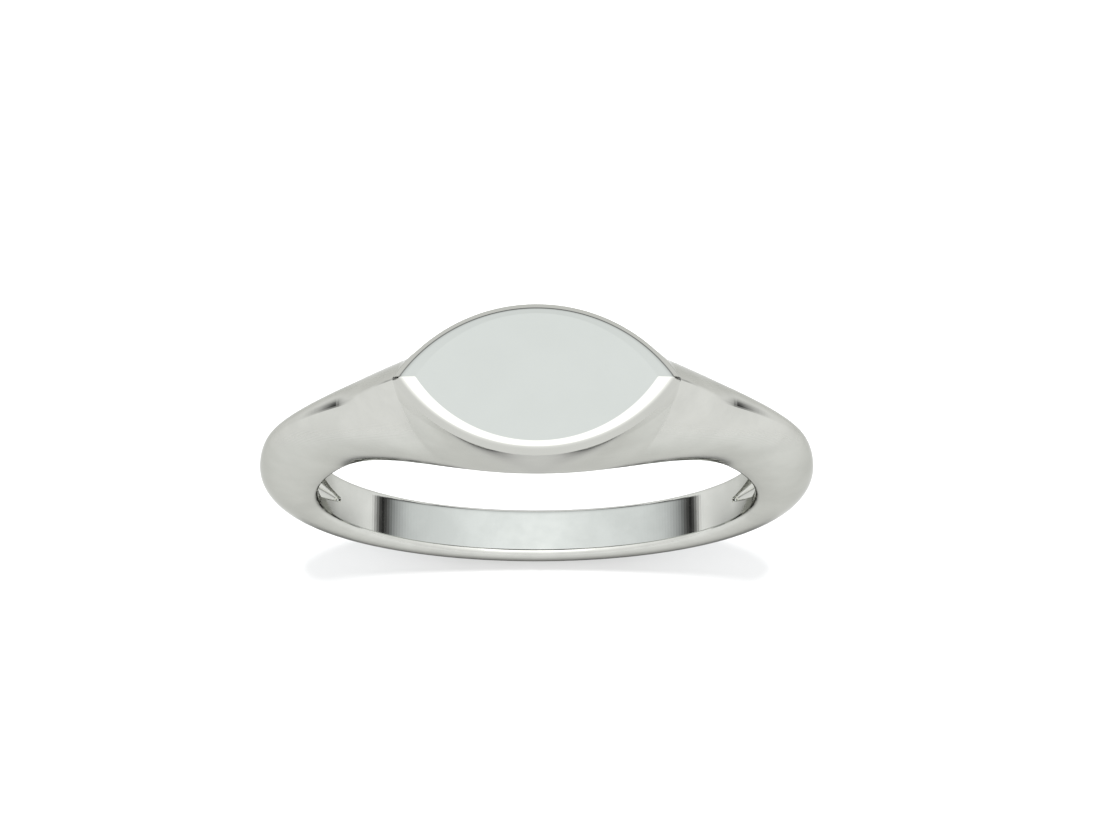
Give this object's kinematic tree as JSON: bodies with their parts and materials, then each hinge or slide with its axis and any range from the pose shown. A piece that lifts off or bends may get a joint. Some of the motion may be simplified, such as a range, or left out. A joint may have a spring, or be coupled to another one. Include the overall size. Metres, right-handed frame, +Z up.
{
  "type": "signet ring",
  "caption": "Slim polished white-metal finger ring with a pointed-oval flat table, shoulders that taper into a rounded band, and a hollowed underside.",
  "frame": {"origin": "centre of the finger hole, midway between the front and back of the ring", "axes": "+Y along the finger hole, +Z up through the middle of the table, +X along the table's length"},
  "size_m": [0.0218, 0.0054, 0.0242],
  "materials": {
    "polished_metal": "mirror polished white precious metal",
    "table_metal": "mirror polished white precious metal, flat lapped"
  },
  "bodies": {
    "root": {"shank": "polished_metal", "left_shoulder": "polished_metal", "right_shoulder": "polished_metal", "head_collar": "polished_metal", "table_plate": "table_metal"}
  },
  "joints": []
}
